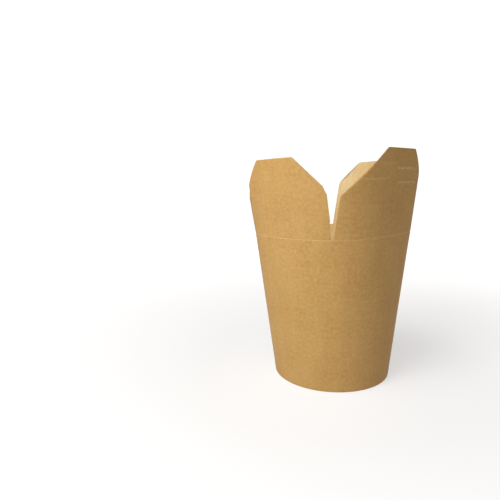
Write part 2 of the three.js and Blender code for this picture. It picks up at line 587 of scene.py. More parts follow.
@dataclass(frozen=True)
class KraftOutside:
    """Uncoated brown kraft paperboard, calendered on its outer face.

    It reads as a matt warm tan with cloudy fibre mottling, short hair-like fibres up the board and a few
    dark flecks. Scored lines show paler, where the fibres are strained.
    """

    name: str = "kraft paperboard, uncoated, calendered"
    tan: str = "#BB9353"
    shade: str = "#AB8041"
    light: str = "#C8A465"
    fleck: str = "#825B2F"
    strained: str = "#EDD19C"
    roughness_low: float = 0.68
    roughness_high: float = 0.86
    mottle_mm: float = 2.2
    cloud_mm: float = 22.0
    fibre_mm: tuple[float, float] = (0.55, 4.5)
    band_mm: tuple[float, float] = (6.5, 120.0)
    band_share: float = 0.35
    fleck_mm: float = 1.6
    fleck_rarity: float = 0.94
    fleck_strength: float = 0.6
    bump_mm: float = 0.05
    ior: float = 1.48

    def build(self) -> bpy.types.Material:
        """Make the node material.

        Returns:
            The material.
        """
        material, tree, shader = new_material(self.name, {"IOR": self.ior})
        sheet = add(tree, "ShaderNodeAttribute", attribute_name="sheet").outputs["Vector"]
        mottle = add(tree, "ShaderNodeTexNoise",
                     {"Vector": sheet, "Scale": 1 / self.mottle_mm, "Detail": 5.0,
                      "Roughness": 0.62}).outputs["Fac"]
        fibre = self._drawn_out(tree, sheet, self.fibre_mm, {"Detail": 4.0, "Distortion": 0.6})
        clouds = self._clouds(tree, sheet)
        fibres = self._fibres(tree, clouds, mottle, fibre)
        flecked = self._flecks(tree, sheet, fibres)
        tree.links.new(self._scored(tree, flecked, mottle), shader.inputs["Base Color"])
        rough = add(tree, "ShaderNodeMapRange",
                    {"Value": mottle, "From Min": 0.3, "From Max": 0.7,
                     "To Min": self.roughness_low, "To Max": self.roughness_high})
        tree.links.new(rough.outputs["Result"], shader.inputs["Roughness"])
        relief = add(tree, "ShaderNodeMath", {0: mottle, 1: fibre}, operation="ADD")
        bump = add(tree, "ShaderNodeBump",
                   {"Height": relief.outputs[0], "Strength": 0.35, "Distance": self.bump_mm * MM})
        tree.links.new(bump.outputs["Normal"], shader.inputs["Normal"])
        return material

    @staticmethod
    def _drawn_out(tree: bpy.types.NodeTree, sheet: bpy.types.NodeSocket, grain_mm: tuple[float, float],
                   noise: dict[str, float]) -> bpy.types.NodeSocket:
        """Add noise that is drawn out up the board.

        Args:
            tree: The material's tree.
            sheet: Places on the board in millimetres.
            grain_mm: Its width and length in millimetres.
            noise: The noise's own settings.

        Returns:
            The noise, from 0 to 1.
        """
        width, length = grain_mm
        scaled = add(tree, "ShaderNodeMapping",
                     {"Vector": sheet, "Scale": (1 / width, 1 / length, 1 / width)})
        inputs = {"Vector": scaled.outputs["Vector"], "Scale": 1.0, **noise}
        return add(tree, "ShaderNodeTexNoise", inputs).outputs["Fac"]

    def _clouds(self, tree: bpy.types.NodeTree, sheet: bpy.types.NodeSocket) -> bpy.types.NodeSocket:
        """Colour the board from shade to tan in wide clouds and faint upright bands.

        Args:
            tree: The material's tree.
            sheet: Places on the board in millimetres.

        Returns:
            The colour.
        """
        cloud = add(tree, "ShaderNodeTexNoise",
                    {"Vector": sheet, "Scale": 1 / self.cloud_mm, "Detail": 4.0, "Roughness": 0.65})
        band = self._drawn_out(tree, sheet, self.band_mm, {"Detail": 1.0})
        banded = add(tree, "ShaderNodeMath", {0: band, 1: self.band_share, 2: cloud.outputs["Fac"]},
                     operation="MULTIPLY_ADD")
        spread = add(tree, "ShaderNodeMapRange",
                     {"Value": banded.outputs[0], "From Min": 0.4, "From Max": 0.95,
                      "To Min": 0.0, "To Max": 1.0})
        return add(tree, "ShaderNodeMix",
                   {"Factor": spread.outputs["Result"], MIX_A: linear(self.shade), MIX_B: linear(self.tan)},
                   data_type="RGBA").outputs[MIX_RESULT]

    def _fibres(self, tree: bpy.types.NodeTree, colour: bpy.types.NodeSocket, mottle: bpy.types.NodeSocket,
                fibre: bpy.types.NodeSocket) -> bpy.types.NodeSocket:
        """Lay paler mottling and darker fibres over the clouds.

        Args:
            tree: The material's tree.
            colour: Colour so far.
            mottle: Fine mottling, from 0 to 1.
            fibre: Fibres, from 0 to 1.

        Returns:
            The colour.
        """
        lift = add(tree, "ShaderNodeMapRange",
                   {"Value": mottle, "From Min": 0.36, "From Max": 0.66, "To Min": 0.0, "To Max": 0.57})
        mottled = add(tree, "ShaderNodeMix",
                      {"Factor": lift.outputs["Result"], MIX_A: colour, MIX_B: linear(self.light)},
                      data_type="RGBA")
        streak = add(tree, "ShaderNodeMapRange",
                     {"Value": fibre, "From Min": 0.52, "From Max": 0.74, "To Min": 0.0, "To Max": 0.34})
        return add(tree, "ShaderNodeMix",
                   {"Factor": streak.outputs["Result"], MIX_A: mottled.outputs[MIX_RESULT],
                    MIX_B: linear(self.shade)},
                   data_type="RGBA").outputs[MIX_RESULT]

    def _flecks(self, tree: bpy.types.NodeTree, sheet: bpy.types.NodeSocket,
                colour: bpy.types.NodeSocket) -> bpy.types.NodeSocket:
        """Strew a few dark flecks, round spots in some of the cells of a fine net.

        Args:
            tree: The material's tree.
            sheet: Places on the board in millimetres.
            colour: Colour so far.

        Returns:
            The colour.
        """
        spots = add(tree, "ShaderNodeTexVoronoi",
                    {"Vector": sheet, "Scale": 1 / self.fleck_mm, "Randomness": 1.0})
        near = add(tree, "ShaderNodeMapRange",
                   {"Value": spots.outputs["Distance"], "From Min": 0.08, "From Max": 0.26,
                    "To Min": 1.0, "To Max": 0.0})
        rare = add(tree, "ShaderNodeSeparateColor", {"Color": spots.outputs["Color"]})
        chosen = add(tree, "ShaderNodeMath", {0: rare.outputs["Red"], 1: self.fleck_rarity},
                     operation="GREATER_THAN")
        fleck = add(tree, "ShaderNodeMath", {0: near.outputs["Result"], 1: chosen.outputs[0]},
                    operation="MULTIPLY")
        amount = add(tree, "ShaderNodeMath", {0: fleck.outputs[0], 1: self.fleck_strength},
                     operation="MULTIPLY")
        return add(tree, "ShaderNodeMix",
                   {"Factor": amount.outputs[0], MIX_A: colour, MIX_B: linear(self.fleck)},
                   data_type="RGBA").outputs[MIX_RESULT]

    def _scored(self, tree: bpy.types.NodeTree, colour: bpy.types.NodeSocket,
                mottle: bpy.types.NodeSocket) -> bpy.types.NodeSocket:
        """Let strained fibres show pale where the board is scored or cut, broken up by the mottling.

        Args:
            tree: The material's tree.
            colour: Colour so far.
            mottle: Fine mottling, from 0 to 1.

        Returns:
            The colour.
        """
        pale = add(tree, "ShaderNodeAttribute", attribute_name="pale")
        torn = add(tree, "ShaderNodeMapRange",
                   {"Value": mottle, "From Min": 0.4, "From Max": 0.62, "To Min": 0.3, "To Max": 1.0})
        strain = add(tree, "ShaderNodeMath", {0: pale.outputs["Fac"], 1: torn.outputs["Result"]},
                     operation="MULTIPLY")
        return add(tree, "ShaderNodeMix",
                   {"Factor": strain.outputs[0], MIX_A: colour, MIX_B: linear(self.strained)},
                   data_type="RGBA").outputs[MIX_RESULT]


@dataclass(frozen=True)
class LinedInside:
    """The board's inner face: a thin grease-proof lining over paler pulp.

    It reads as a smooth cream, a little glossier than the outside, with the fibres only just showing.
    """

    name: str = "paperboard, pale grease-proof lining"
    cream: str = "#E8CF97"
    warm: str = "#DDBF84"
    strained: str = "#F0DEB4"
    mottle_mm: float = 3.0
    cloud_mm: float = 26.0
    strained_share: float = 0.4
    roughness_low: float = 0.46
    roughness_high: float = 0.6
    bump_mm: float = 0.03
    ior: float = 1.5

    def build(self) -> bpy.types.Material:
        """Make the node material.

        Returns:
            The material.
        """
        material, tree, shader = new_material(self.name, {"IOR": self.ior})
        place = add(tree, "ShaderNodeTexCoord")
        cloud = add(tree, "ShaderNodeTexNoise",
                    {"Vector": place.outputs["Object"], "Scale": 1 / (self.cloud_mm * MM), "Detail": 3.0})
        mottle = add(tree, "ShaderNodeTexNoise",
                     {"Vector": place.outputs["Object"], "Scale": 1 / (self.mottle_mm * MM), "Detail": 5.0})
        both = add(tree, "ShaderNodeMath", {0: cloud.outputs["Fac"], 1: mottle.outputs["Fac"]},
                   operation="MULTIPLY")
        spread = add(tree, "ShaderNodeMapRange",
                     {"Value": both.outputs[0], "From Min": 0.15, "From Max": 0.36,
                      "To Min": 0.0, "To Max": 1.0})
        colour = add(tree, "ShaderNodeMix",
                     {"Factor": spread.outputs["Result"], MIX_A: linear(self.warm),
                      MIX_B: linear(self.cream)},
                     data_type="RGBA")
        pale = add(tree, "ShaderNodeAttribute", attribute_name="pale")
        strain = add(tree, "ShaderNodeMath", {0: pale.outputs["Fac"], 1: self.strained_share},
                     operation="MULTIPLY")
        scored = add(tree, "ShaderNodeMix",
                     {"Factor": strain.outputs[0], MIX_A: colour.outputs[MIX_RESULT],
                      MIX_B: linear(self.strained)},
                     data_type="RGBA")
        tree.links.new(scored.outputs[MIX_RESULT], shader.inputs["Base Color"])
        rough = add(tree, "ShaderNodeMapRange",
                    {"Value": mottle.outputs["Fac"], "From Min": 0.3, "From Max": 0.7,
                     "To Min": self.roughness_low, "To Max": self.roughness_high})
        tree.links.new(rough.outputs["Result"], shader.inputs["Roughness"])
        bump = add(tree, "ShaderNodeBump",
                   {"Height": mottle.outputs["Fac"], "Strength": 0.3, "Distance": self.bump_mm * MM})
        tree.links.new(bump.outputs["Normal"], shader.inputs["Normal"])
        return material


@dataclass(frozen=True)
class CutEdge:
    """The die-cut edge of the board: dry, pale pulp in thin plies, rougher than either face."""

    name: str = "paperboard, die-cut edge"
    pulp: str = "#B99A68"
    ply: str = "#9C7D50"
    grain_mm: float = 0.9
    roughness: float = 0.92

    def build(self) -> bpy.types.Material:
        """Make the node material.

        Returns:
            The material.
        """
        material, tree, shader = new_material(self.name, {"Roughness": self.roughness})
        place = add(tree, "ShaderNodeTexCoord")
        grain = add(tree, "ShaderNodeTexNoise",
                    {"Vector": place.outputs["Object"], "Scale": 1 / (self.grain_mm * MM), "Detail": 4.0})
        colour = add(tree, "ShaderNodeMix",
                     {"Factor": grain.outputs["Fac"], MIX_A: linear(self.ply), MIX_B: linear(self.pulp)},
                     data_type="RGBA")
        tree.links.new(colour.outputs[MIX_RESULT], shader.inputs["Base Color"])
        return material


@dataclass(frozen=True)
class Finishes:
    """The three finishes of the board, built once and shared by every piece."""

    outside: bpy.types.Material
    inside: bpy.types.Material
    edge: bpy.types.Material

    @classmethod
    def build(cls) -> "Finishes":
        """Make all three materials."""
        return cls(KraftOutside().build(), LinedInside().build(), CutEdge().build())

    def by_side(self) -> dict[Side, bpy.types.Material]:
        """Give the finish of each side, in the order of the sides' numbers."""
        return {Side.OUTSIDE: self.outside, Side.INSIDE: self.inside, Side.EDGE: self.edge}


class BendTree:
    """Geometry Nodes tree that bends a flat piece of board to the cup's wall and paints its faces."""

    SIZES = {"Foot radius": "foot_radius", "Mean radius": "mean_radius", "Oval": "oval",
             "Square": "square", "Crease height": "crease_height", "Round foot height": "round_foot_height",
             "Waviness": "waviness", "Wave length": "wave_length"}

    def __init__(self, finishes: Finishes) -> None:
        """Build the tree.

        Args:
            finishes: Materials of the outer face, the inner face and the cut edges.
        """
        self.tree = bpy.data.node_groups.new("Bend board to the cup wall", "GeometryNodeTree")
        face = self.tree.interface
        face.new_socket("Geometry", in_out="INPUT", socket_type="NodeSocketGeometry")
        for name in self.SIZES:
            face.new_socket(name, in_out="INPUT", socket_type="NodeSocketFloat")
        face.new_socket("Geometry", in_out="OUTPUT", socket_type="NodeSocketGeometry")
        source = add(self.tree, "NodeGroupInput")
        bent = self._bend(source)
        self._paint(bent, finishes)

    def _math(self, operation: str, *values: Any) -> bpy.types.NodeSocket:
        """Add one sum and give its result."""
        return add(self.tree, "ShaderNodeMath", dict(enumerate(values)), operation=operation).outputs[0]

    def _bend(self, source: bpy.types.Node) -> bpy.types.NodeSocket:
        """Turn flat points into points on the wall.

        Args:
            source: The tree's group input.

        Returns:
            The bent geometry.
        """
        size = source.outputs
        place = add(self.tree, "GeometryNodeInputPosition")
        flat = add(self.tree, "ShaderNodeSeparateXYZ", {0: place.outputs[0]}).outputs
        press = add(self.tree, "GeometryNodeInputNamedAttribute", {"Name": "press"}, data_type="FLOAT")
        angle = self._math("DIVIDE", flat["X"], size["Mean radius"])
        rise = self._math("DIVIDE", flat["Y"], size["Crease height"])
        widening = self._math("SUBTRACT", size["Mean radius"], size["Foot radius"])
        cone = self._math("MULTIPLY_ADD", widening, rise, size["Foot radius"])
        above = self._math("SUBTRACT", flat["Y"], size["Round foot height"])
        span = self._math("SUBTRACT", size["Crease height"], size["Round foot height"])
        share = self._math("MAXIMUM", self._math("DIVIDE", above, span), 0.0)
        twice = self._math("COSINE", self._math("MULTIPLY", angle, 2.0))
        fourfold = self._math("COSINE", self._math("MULTIPLY", angle, 4.0))
        section = self._math("MULTIPLY_ADD", size["Square"], fourfold,
                             self._math("MULTIPLY", size["Oval"], twice))
        outer = self._math("MULTIPLY_ADD", section, share, cone)
        behind = self._math("ADD", flat["Z"], press.outputs["Attribute"])
        radius = self._math("SUBTRACT", outer, behind)
        sine = self._math("SINE", angle)
        cosine = self._math("COSINE", angle)
        direction = add(self.tree, "ShaderNodeCombineXYZ",
                        {"X": sine, "Y": self._math("MULTIPLY", cosine, -1.0)}).outputs[0]
        upright = add(self.tree, "ShaderNodeCombineXYZ", {"Z": flat["Y"]}).outputs[0]
        outwards = add(self.tree, "ShaderNodeVectorMath", {0: direction, "Scale": outer},
                       operation="SCALE").outputs[0]
        on_wall = add(self.tree, "ShaderNodeVectorMath", {0: outwards, 1: upright},
                      operation="ADD").outputs[0]
        density = self._math("DIVIDE", 1.0, size["Wave length"])
        waves = add(self.tree, "ShaderNodeTexNoise", {"Vector": on_wall, "Scale": density, "Detail": 1.0})
        swing = self._math("SUBTRACT", waves.outputs["Fac"], 0.5)
        calm = self._math("MINIMUM", share, 1.0)
        wave = self._math("MULTIPLY", self._math("MULTIPLY", swing, size["Waviness"]), calm)
        final = self._math("ADD", radius, wave)
        spread = add(self.tree, "ShaderNodeVectorMath", {0: direction, "Scale": final},
                     operation="SCALE").outputs[0]
        result = add(self.tree, "ShaderNodeVectorMath", {0: spread, 1: upright}, operation="ADD").outputs[0]
        moved = add(self.tree, "GeometryNodeSetPosition", {"Geometry": size["Geometry"], "Position": result})
        return moved.outputs["Geometry"]

    def _paint(self, geometry: bpy.types.NodeSocket, finishes: Finishes) -> None:
        """Give each face the finish of its side, and end the tree.

        Args:
            geometry: The bent geometry.
            finishes: Materials of the outer face, the inner face and the cut edges.
        """
        side = add(self.tree, "GeometryNodeInputNamedAttribute", {"Name": "side"}, data_type="INT")
        geometry = add(self.tree, "GeometryNodeRealizeInstances",
                       {"Geometry": geometry}).outputs["Geometry"]
        for kind, material in finishes.by_side().items():
            chosen = add(self.tree, "FunctionNodeCompare",
                         {COMPARE_A: side.outputs["Attribute"], COMPARE_B: kind.value},
                         data_type="INT", operation="EQUAL")
            geometry = add(self.tree, "GeometryNodeSetMaterial",
                           {"Geometry": geometry, "Selection": chosen.outputs[0], "Material": material},
                           ).outputs["Geometry"]
        add(self.tree, "NodeGroupOutput", {"Geometry": geometry})

    def bend(self, flat: FlatMesh, name: str, shape: CupShape) -> bpy.types.Object:
        """Bend a flat piece and keep the result as a plain mesh object.

        Args:
            flat: The flat piece.
            name: Name of the new object.
            shape: Sizes of the wall.

        Returns:
            The bent piece, at the origin.
        """
        sizes = {label: getattr(shape, size) * MM for label, size in self.SIZES.items()}
        return grown(self.tree, name, flat.to_mesh(name + "_flat"), sizes)


def grown(tree: bpy.types.NodeTree, name: str, start: bpy.types.Mesh,
          inputs: dict[str, Any]) -> bpy.types.Object:
    """Run a Geometry Nodes tree on a mesh and keep what it makes as a plain mesh object.

    Args:
        tree: The tree.
        name: Name of the new object.
        start: Mesh that the tree starts from.
        inputs: Values of the tree's inputs by their names.

    Returns:
        The new object, at the origin.
    """
    carrier = placed(start.name, start)
    modifier = carrier.modifiers.new("Make", "NODES")
    modifier.node_group = tree
    for socket in tree.interface.items_tree:
        if socket.in_out == "INPUT" and socket.name in inputs:
            modifier[socket.identifier] = inputs[socket.name]
    return plain(carrier, name)


def plain(carrier: bpy.types.Object, name: str) -> bpy.types.Object:
    """Turn an object with modifiers into a plain mesh object, and drop the object it came from.

    Args:
        carrier: Object whose evaluated mesh is wanted.
        name: Name of the new object.

    Returns:
        The new object, at the origin.
    """
    graph = bpy.context.evaluated_depsgraph_get()
    mesh = bpy.data.meshes.new_from_object(carrier.evaluated_get(graph), depsgraph=graph)
    mesh.name = name
    bpy.data.objects.remove(carrier)
    return placed(name, mesh)


def smoothed(piece: bpy.types.Object, sharp_angle: float = math.radians(38)) -> bpy.types.Object:
    """Shade a piece smooth, except across edges sharper than an angle.

    Args:
        piece: Mesh object.
        sharp_angle: Angle from which an edge stays sharp.

    Returns:
        The same object.
    """
    piece.data.shade_smooth()
    piece.data.set_sharp_from_angle(angle=sharp_angle)
    return piece


def rounded_edges(piece: bpy.types.Object, width_mm: float,
                  sharp_angle: float = math.radians(55)) -> bpy.types.Object:
    """Take the sharpness off a board piece's cut edges.

    Args:
        piece: Mesh object.
        width_mm: Width of the rounding.
        sharp_angle: Angle from which an edge is rounded.

    Returns:
        The finished object, under the same name.
    """
    name = piece.name
    bevel = piece.modifiers.new("Soft edge", "BEVEL")
    bevel.limit_method = "ANGLE"
    bevel.angle_limit = sharp_angle
    bevel.width = width_mm * MM
    bevel.segments = 2
    piece.name = name + "_raw"
    return plain(piece, name)


@dataclass
class Wall:
    """The cup's wall: one sheet wound round, lapped at the back, its lower edge folded in as a hem.

    The lap stands out at the free edge of the sheet, over its crest, and in at the hidden edge, over its
    width. The board is cut out in a notch at the slit above it. The hem leaves a faint dent at the heel.
    """

    shape: CupShape
    column_angle: float = math.radians(1.0)
    row_gap: float = 2.6
    fold_radius: float = 0.45
    fold_steps: int = 4
    slot_floor: float = 0.7
    hem_row_start: float = 2.0
    lap_width: float = 9.0
    lap_depth: float = 0.45
    lap_crest: float = 1.0
    lap_top_margin: float = 1.5
    lap_inside_share: float = 0.8
    lap_inside_crest: float = 1.5
    lap_clear_of_hem: float = 2.0
    notch_half_width: float = 1.4
    notch_depth: float = 0.9
    notch_side_angle: float = 0.001
    sheet_end_gap_angle: float = 0.00004
    fine_zone: float = 1.2
    crease_reach: float = 2.0
    heel_height: float = 8.0
    heel_half_width: float = 1.6
    heel_dent: float = 0.05
    crease: Score = Score()

    def _columns(self) -> list[float]:
        """Place the columns, starting at the free edge of the lap and going once round.

        Returns:
            Their angles in radians.
        """
        start = self.lap_start
        notch = self.notch_half_width / self.shape.mean_radius
        side = self.notch_side_angle
        turn = 2 * math.pi - self.sheet_end_gap_angle
        inner = steps(notch + side, turn - notch - side, self.column_angle)
        offsets = [0.0, notch / 2, notch] + inner + [turn - notch, turn - notch / 2, turn]
        return [start + offset for offset in offsets]

    def _notched(self, angle: float, height: float) -> float:
        """Height of a point once the notch at the seam's slit is cut out of the top edge.

        Args:
            angle: Angle of the point.
            height: Its height without the notch.

        Returns:
            Its height with the notch.
        """
        around = abs((angle - self.lap_start + math.pi) % (2 * math.pi) - math.pi)
        zone = self.shape.crease_height - self.fine_zone
        if height <= zone or around * self.shape.mean_radius > self.notch_half_width + NEARLY:
            return height
        return zone + (height - zone) * (1 - self.notch_depth / self.fine_zone)

    @property
    def lap_start(self) -> float:
        """Angle of the lap's free edge, under the slit at the back right."""
        return math.pi - self.shape.wide_half_angle

    @property
    def _lap_top(self) -> float:
        """Height up to which the lap shows."""
        return self.shape.crease_height - self.lap_top_margin

    def _lap(self, angle: float, height: float) -> float:
        """How far the outer face stands out over the lap, greatest at the free edge.

        Args:
            angle: Angle of the point.
            height: Its height above the table.

        Returns:
            How far it stands out in millimetres.
        """
        if height > self._lap_top:
            return 0.0
        distance = (angle - self.lap_start) * self.shape.cone(height)
        past_crest = (distance - self.lap_crest) / (self.lap_width - self.lap_crest)
        return self.lap_depth * (1 - smooth_step(past_crest))

    def _lap_inside(self, angle: float) -> float:
        """How far the inner face stands in over the lap, greatest at the hidden end of the sheet.

        Args:
            angle: Angle of the point.

        Returns:
            How far it stands in in millimetres.
        """
        distance = (angle - self.lap_start) * self.shape.cone(self.shape.crease_height / 2)
        if distance > self.lap_width:
            return 0.0
        rise = smooth_step(distance / (self.lap_width - self.lap_inside_crest))
        return self.lap_depth * self.lap_inside_share * rise

    def _profile(self) -> list[tuple[float, float, Side]]:
        """Draw the section through the wall and its hem.

        Returns:
            Depth, height and the side of the stretch that follows, for each corner.
        """
        shape = self.shape
        board = shape.board
        top = shape.crease_height
        hem_front = 2 * board + 2 * shape.hem_gap
        hem_back = hem_front + board
        rise = steps(self.fold_radius, top - self.fine_zone, self.row_gap)
        heights = rise + [top - gap for gap in reversed((0.0,) + CREASE_ROWS)]
        profile = [(0.0, z, Side.OUTSIDE) for z in heights]
        profile[-1] = (0.0, top, Side.EDGE)
        profile += [(board, z, Side.INSIDE) for z in reversed(heights[1:])]
        profile += [(board, self.slot_floor, Side.OUTSIDE)]
        profile += [(hem_front, self.slot_floor, Side.OUTSIDE)]
        hem_rows = steps(self.hem_row_start, shape.hem_height - NEARLY, self.row_gap)
        profile += [(hem_front, z, Side.OUTSIDE) for z in hem_rows]
        profile += [(hem_front, shape.hem_height, Side.EDGE)]
        falling = steps(shape.hem_height, self.fold_radius, self.row_gap)
        profile += [(hem_back, z, Side.OUTSIDE) for z in falling]
        radius = self.fold_radius
        turns = [math.pi / 2 * k / self.fold_steps for k in range(1, self.fold_steps)]
        arc = [(radius * (1 - math.cos(turn)), radius * (1 - math.sin(turn))) for turn in turns]
        profile += [(hem_back - depth, z, Side.OUTSIDE) for depth, z in arc]
        profile += [(hem_back - radius, 0.0, Side.OUTSIDE), (radius, 0.0, Side.OUTSIDE)]
        profile += [(depth, z, Side.OUTSIDE) for depth, z in reversed(arc)]
        return profile

    def _worked(self, angle: float, height: float, depth: float) -> tuple[float, float]:
        """Work out what the crease, the lap and the hem do to a point of the wall.

        Args:
            angle: Angle of the point.
            height: Its height above the table.
            depth: Its depth behind the outer face.

        Returns:
            How far it is pressed in, and how pale its fibres show.
        """
        shape = self.shape
        to_crease = shape.crease_height - height
        press = 0.0
        pale = 0.0
        if to_crease < self.crease_reach and depth <= shape.board:
            press += self.crease.press(to_crease)
            pale = self.crease.pale(to_crease)
        if depth == 0.0:
            press -= self._lap(angle, height)
            press += self.heel_dent * math.exp(-(((height - self.heel_height) / self.heel_half_width) ** 2))
        elif depth == shape.board and shape.hem_height + self.lap_clear_of_hem < height < self._lap_top:
            press += self._lap_inside(angle)
        return press, pale

    def _flat(self) -> FlatMesh:
        """Lay the wall out flat, with its lap, its crease and the dent that the hem leaves.

        Returns:
            The closed flat piece.
        """
        profile = self._profile()
        columns = self._columns()
        flat = FlatMesh()
        for angle in columns:
            for depth, height, _ in profile:
                press, pale = self._worked(angle, height, depth)
                flat.points.append((self.shape.flat(angle), self._notched(angle, height), depth))
                flat.press.append(press)
                flat.pale.append(pale)
        rows = len(profile)
        count = len(columns)
        for i in range(count):
            here, there = i * rows, ((i + 1) % count) * rows
            for j in range(rows):
                k = (j + 1) % rows
                flat.faces.append((here + j, there + j, there + k, here + k))
                closing = i == count - 1 and profile[j][0] == profile[k][0] == 0.0
                flat.sides.append(Side.EDGE if closing else profile[j][2])
        return flat

    def build(self, bender: BendTree) -> bpy.types.Object:
        """Make the wall.

        Args:
            bender: The tree that bends flat board.

        Returns:
            The finished piece.
        """
        wall = smoothed(bender.bend(self._flat(), "cup_wall", self.shape))
        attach(wall, "cup")
        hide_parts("wall")
        return wall


@dataclass
class Flap:
    """A flap of the wall above the crease.

    Its edges are given as (height above the crease, inset from the slit root) corners. The low edge is the
    one at the smaller angle, on the left seen from outside. The board springs flatter above the crease: at
    the spring height its sides have come out against its middle by the spring, and it stays in place at
    the still share of its half width. A flap with a lean is also turned, in at its right side and out at
    its left side by the lean.
    """

    shape: CupShape
    name: str
    node: str
    body: str
    centre: float
    half_angle: float
    low_edge: Corners
    high_edge: Corners
    bend_height: float = 12.0
    crease: Score = Score()
    slits: list[Slit] = field(default_factory=list)
    corner_reach: float = 0.8
    edge_step: float = 6.0
    spring: float = 1.4
    still: float = 0.5
    spring_height: float = 30.0
    lean: float = 0.0
    edge_rounding: float = 0.09
    last_row: float = 1.3

    def _half_width(self, edge: Corners, height: float) -> float:
        """Half width of the outline on the flat sheet.

        Args:
            edge: Corners of the edge.
            height: Height above the crease.

        Returns:
            The half width in millimetres.
        """
        inset = float(np.interp(height, [h for h, _ in edge], [i for _, i in edge]))
        radius = self.shape.radius(self.centre + self.half_angle, self.shape.crease_height + height)
        return self.shape.flat(self.half_angle - inset / radius)

    def _rising_edge(self, edge: Corners) -> tuple[Loop, list[float]]:
        """Climb one edge of the flap.

        Args:
            edge: Corners of the edge.

        Returns:
            Its points, and how far each is to be rounded.
        """
        points: Loop = []
        reach: list[float] = []
        for (low, _), (high, _) in zip(edge, edge[1:]):
            inner = steps(low, high, self.edge_step)[:-1]
            points += [(self._half_width(edge, h), h) for h in inner]
            reach += [self.corner_reach if low else 0.0] + [0.0] * (len(inner) - 1)
        top = edge[-1][0]
        points.append((self._half_width(edge, top), top))
        reach.append(self.corner_reach)
        return points, reach

    def _outline(self) -> Loop:
        """Draw the whole outline.

        Returns:
            Its points, counter-clockwise from the slit root at the right.
        """
        right, right_reach = self._rising_edge(self.high_edge)
        left, left_reach = self._rising_edge(self.low_edge)
        falling = [(-x, h) for x, h in reversed(left)]
        return softened(right + falling, right_reach + list(reversed(left_reach)))

    def _flat(self) -> FlatMesh:
        """Cut the flap out flat and place it on the sheet.

        Returns:
            The closed flat piece.
        """
        top = self.shape.crease_height
        blank = Blank(self._outline(), self.slits, self.shape.board)
        flat = blank.slab(CREASE_ROWS + (self.last_row,))
        for i, (x, height, _) in enumerate(flat.points):
            flat.press[i] = self._press(x, height)
            flat.pale[i] = self._pale(x, height)
        shift = self.shape.flat(self.centre)
        flat.points = [(x + shift, height + top, depth) for x, height, depth in flat.points]
        return flat

    def _press(self, x: float, height: float) -> float:
        """How far the board is pressed in at a point of the flat flap, or stands out if negative."""
        lips = sum(slit.stand_out(x, height) for slit in self.slits)
        return self.crease.press(height) + self._flattening(x, height) - lips

    def _flattening(self, x: float, height: float) -> float:
        """How far in the board goes above the crease, as it springs flatter and leans.

        Args:
            x: Place along the flat flap from its middle.
            height: Height above the crease.

        Returns:
            How far in it goes in millimetres.
        """
        across = x / self.shape.flat(self.half_angle)
        flatter = self.spring * (self.still**2 - across**2)
        return (flatter + self.lean * across) * height / self.spring_height

    def _pale(self, x: float, height: float) -> float:
        """How pale the strained fibres show at a point of the flat flap."""
        at_slit = max((slit.pale(x, height) for slit in self.slits), default=0.0)
        return max(self.crease.pale(height), at_slit)

    def build(self, bender: BendTree) -> bpy.types.Object:
        """Make the flap and round its cut edges.

        Args:
            bender: The tree that bends flat board.

        Returns:
            The finished piece.
        """
        bent = bender.bend(self._flat(), self.name, self.shape)
        piece = smoothed(rounded_edges(bent, self.edge_rounding))
        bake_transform(piece)
        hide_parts(self.node)
        return piece


@dataclass
class TongueFlap(Flap):
    """The wide flap whose middle rises into a rounded tongue, with a pressed line across the tongue's foot.
    """

    tab_height: float = 53.4
    tab_half_base: float = 13.8
    tab_half_top: float = 11.5
    tab_corner: float = 6.0
    tab_lift: float = 0.15
    tab_step: float = 3.0
    tab_turn_step: int = 10
    neck_reach: float = 0.7
    tab_score: Score = Score(depth=0.1, paleness=0.4)

    @property
    def shoulder(self) -> float:
        """Height of the shoulders above the crease."""
        return self.high_edge[-1][0]

    def _tab_half_width(self, height: float) -> float:
        """Half width of the tongue, falling evenly and then round its corner.

        Args:
            height: Height above the crease.

        Returns:
            The half width in millimetres.
        """
        rise = (height - self.shoulder) / (self.tab_height - self.shoulder)
        straight = self.tab_half_base + (self.tab_half_top - self.tab_half_base) * rise
        into = max(0.0, height - (self.tab_height - self.tab_corner)) / self.tab_corner
        return straight - self.tab_corner * (1 - math.sqrt(max(0.0, 1 - into * into)))

    def _outline(self) -> Loop:
        """Draw the outline with the tongue standing on the flap's shoulders.

        Returns:
            Its points, counter-clockwise from the slit root at the right.
        """
        right, reach = self._rising_edge(self.high_edge)
        foot = self.shoulder + self.tab_lift
        straight = steps(foot, self.tab_height - self.tab_corner, self.tab_step)
        turn_step = self.tab_turn_step
        turns = [math.radians(angle) for angle in range(turn_step, 90 + turn_step, turn_step)]
        tab = [(self._tab_half_width(h), h) for h in straight]
        for turn in turns:
            height = self.tab_height - self.tab_corner * (1 - math.sin(turn))
            tab.append((self._tab_half_width(height), height))
        right += tab
        reach += [self.neck_reach] + [0.0] * (len(tab) - 1)
        left = [(-x, h) for x, h in reversed(right)]
        return softened(right + left, reach + list(reversed(reach)))

    def _press(self, x: float, height: float) -> float:
        """Add the pressed line across the tongue's foot.

        Args:
            x: Place along the flat flap from its middle.
            height: Height above the crease.

        Returns:
            How far the board is pressed in there in millimetres.
        """
        pressed = super()._press(x, height)
        if abs(x) < self.tab_half_base:
            pressed += self.tab_score.press(height - self.shoulder)
        return pressed

    def _pale(self, x: float, height: float) -> float:
        """Strained fibres at the crease and across the tongue's foot."""
        at_tab = self.tab_score.pale(height - self.shoulder) if abs(x) < self.tab_half_base else 0.0
        return max(super()._pale(x, height), at_tab)


